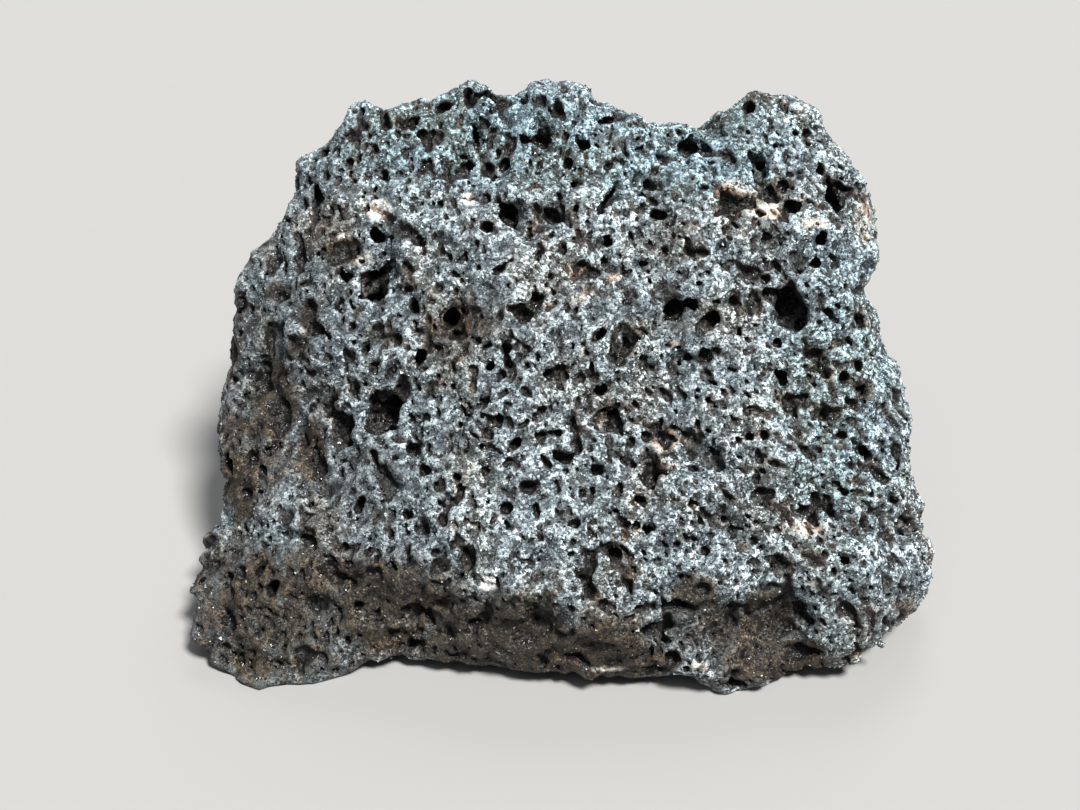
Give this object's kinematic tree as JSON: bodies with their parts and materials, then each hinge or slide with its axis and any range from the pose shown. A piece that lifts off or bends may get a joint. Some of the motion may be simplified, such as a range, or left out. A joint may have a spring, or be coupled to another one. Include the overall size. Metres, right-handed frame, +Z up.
{
  "type": "volcanic rock",
  "caption": "Loose lump of dark grey vesicular basalt with a pitted front face, an undercut lower edge and a rough underside that it rests on.",
  "frame": {"origin": "bottom centre of the stone's box, on the surface that it rests on", "axes": "+Z up, +X along the stone's width to the right of its pitted front face, +Y from the front face towards the back"},
  "size_m": [0.0788, 0.0536, 0.0499],
  "materials": {
    "basalt": "rough, granular, pitted"
  },
  "bodies": {
    "root": {"volcanic_rock": "basalt"}
  },
  "joints": []
}
